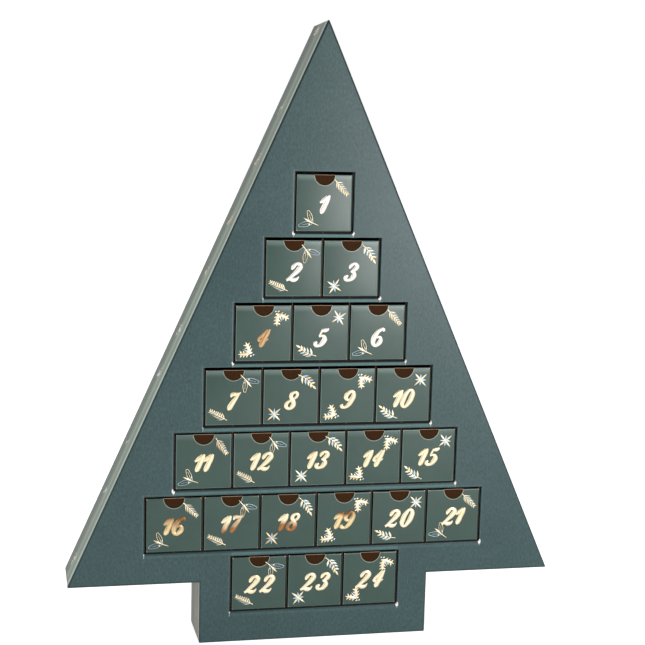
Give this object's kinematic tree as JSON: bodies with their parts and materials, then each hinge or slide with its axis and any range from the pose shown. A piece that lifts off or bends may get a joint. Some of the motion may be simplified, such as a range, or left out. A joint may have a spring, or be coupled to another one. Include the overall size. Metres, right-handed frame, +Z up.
{
  "type": "drawer advent calendar",
  "caption": "Flat tree-shaped paperboard case that stands on its trunk, with stepped rows of small folded card drawers that pull out to the front.",
  "frame": {"origin": "middle of the flat base that the trunk stands on", "axes": "+Z up to the tip of the tree, -Y out of the drawer fronts, +X to the viewer's right from the front"},
  "size_m": [0.3624, 0.045, 0.4471],
  "materials": {
    "face_paper": "dark green printed paper with a satin laminate, wrapped over greyboard",
    "side_paper": "the same paper, seen paler along the edge of the case",
    "drawer_card": "folding card, printed satin green outside with brown reverse",
    "rack_card": "plain brown card"
  },
  "bodies": {
    "case": {"front_panel": "face_paper", "back_panel": "face_paper", "left_slope_wall": "side_paper", "right_slope_wall": "side_paper", "left_underside_wall": "side_paper", "right_underside_wall": "side_paper", "trunk_left_wall": "side_paper", "trunk_right_wall": "side_paper", "trunk_base": "side_paper", "row_1_rack": "rack_card", "row_2_rack": "rack_card", "row_3_rack": "rack_card", "row_4_rack": "rack_card", "row_5_rack": "rack_card", "row_6_rack": "rack_card", "row_7_rack": "rack_card"},
    "drawer_01": {"drawer_01": "drawer_card"},
    "drawer_02": {"drawer_02": "drawer_card"},
    "drawer_03": {"drawer_03": "drawer_card"},
    "drawer_04": {"drawer_04": "drawer_card"},
    "drawer_05": {"drawer_05": "drawer_card"},
    "drawer_06": {"drawer_06": "drawer_card"},
    "drawer_07": {"drawer_07": "drawer_card"},
    "drawer_08": {"drawer_08": "drawer_card"},
    "drawer_09": {"drawer_09": "drawer_card"},
    "drawer_10": {"drawer_10": "drawer_card"},
    "drawer_11": {"drawer_11": "drawer_card"},
    "drawer_12": {"drawer_12": "drawer_card"},
    "drawer_13": {"drawer_13": "drawer_card"},
    "drawer_14": {"drawer_14": "drawer_card"},
    "drawer_15": {"drawer_15": "drawer_card"},
    "drawer_16": {"drawer_16": "drawer_card"},
    "drawer_17": {"drawer_17": "drawer_card"},
    "drawer_18": {"drawer_18": "drawer_card"},
    "drawer_19": {"drawer_19": "drawer_card"},
    "drawer_20": {"drawer_20": "drawer_card"},
    "drawer_21": {"drawer_21": "drawer_card"},
    "drawer_22": {"drawer_22": "drawer_card"},
    "drawer_23": {"drawer_23": "drawer_card"},
    "drawer_24": {"drawer_24": "drawer_card"}
  },
  "joints": [
    {"name": "drawer_01_slide", "type": "slide", "parent": "case", "child": "drawer_01", "axis": [0, -1, 0], "range_m": [0, 0.046]},
    {"name": "drawer_02_slide", "type": "slide", "parent": "case", "child": "drawer_02", "axis": [0, -1, 0], "range_m": [0, 0.046]},
    {"name": "drawer_03_slide", "type": "slide", "parent": "case", "child": "drawer_03", "axis": [0, -1, 0], "range_m": [0, 0.046]},
    {"name": "drawer_04_slide", "type": "slide", "parent": "case", "child": "drawer_04", "axis": [0, -1, 0], "range_m": [0, 0.046]},
    {"name": "drawer_05_slide", "type": "slide", "parent": "case", "child": "drawer_05", "axis": [0, -1, 0], "range_m": [0, 0.046]},
    {"name": "drawer_06_slide", "type": "slide", "parent": "case", "child": "drawer_06", "axis": [0, -1, 0], "range_m": [0, 0.046]},
    {"name": "drawer_07_slide", "type": "slide", "parent": "case", "child": "drawer_07", "axis": [0, -1, 0], "range_m": [0, 0.046]},
    {"name": "drawer_08_slide", "type": "slide", "parent": "case", "child": "drawer_08", "axis": [0, -1, 0], "range_m": [0, 0.046]},
    {"name": "drawer_09_slide", "type": "slide", "parent": "case", "child": "drawer_09", "axis": [0, -1, 0], "range_m": [0, 0.046]},
    {"name": "drawer_10_slide", "type": "slide", "parent": "case", "child": "drawer_10", "axis": [0, -1, 0], "range_m": [0, 0.046]},
    {"name": "drawer_11_slide", "type": "slide", "parent": "case", "child": "drawer_11", "axis": [0, -1, 0], "range_m": [0, 0.046]},
    {"name": "drawer_12_slide", "type": "slide", "parent": "case", "child": "drawer_12", "axis": [0, -1, 0], "range_m": [0, 0.046]},
    {"name": "drawer_13_slide", "type": "slide", "parent": "case", "child": "drawer_13", "axis": [0, -1, 0], "range_m": [0, 0.046]},
    {"name": "drawer_14_slide", "type": "slide", "parent": "case", "child": "drawer_14", "axis": [0, -1, 0], "range_m": [0, 0.046]},
    {"name": "drawer_15_slide", "type": "slide", "parent": "case", "child": "drawer_15", "axis": [0, -1, 0], "range_m": [0, 0.046]},
    {"name": "drawer_16_slide", "type": "slide", "parent": "case", "child": "drawer_16", "axis": [0, -1, 0], "range_m": [0, 0.046]},
    {"name": "drawer_17_slide", "type": "slide", "parent": "case", "child": "drawer_17", "axis": [0, -1, 0], "range_m": [0, 0.046]},
    {"name": "drawer_18_slide", "type": "slide", "parent": "case", "child": "drawer_18", "axis": [0, -1, 0], "range_m": [0, 0.046]},
    {"name": "drawer_19_slide", "type": "slide", "parent": "case", "child": "drawer_19", "axis": [0, -1, 0], "range_m": [0, 0.046]},
    {"name": "drawer_20_slide", "type": "slide", "parent": "case", "child": "drawer_20", "axis": [0, -1, 0], "range_m": [0, 0.046]},
    {"name": "drawer_21_slide", "type": "slide", "parent": "case", "child": "drawer_21", "axis": [0, -1, 0], "range_m": [0, 0.046]},
    {"name": "drawer_22_slide", "type": "slide", "parent": "case", "child": "drawer_22", "axis": [0, -1, 0], "range_m": [0, 0.046]},
    {"name": "drawer_23_slide", "type": "slide", "parent": "case", "child": "drawer_23", "axis": [0, -1, 0], "range_m": [0, 0.046]},
    {"name": "drawer_24_slide", "type": "slide", "parent": "case", "child": "drawer_24", "axis": [0, -1, 0], "range_m": [0, 0.046]}
  ]
}
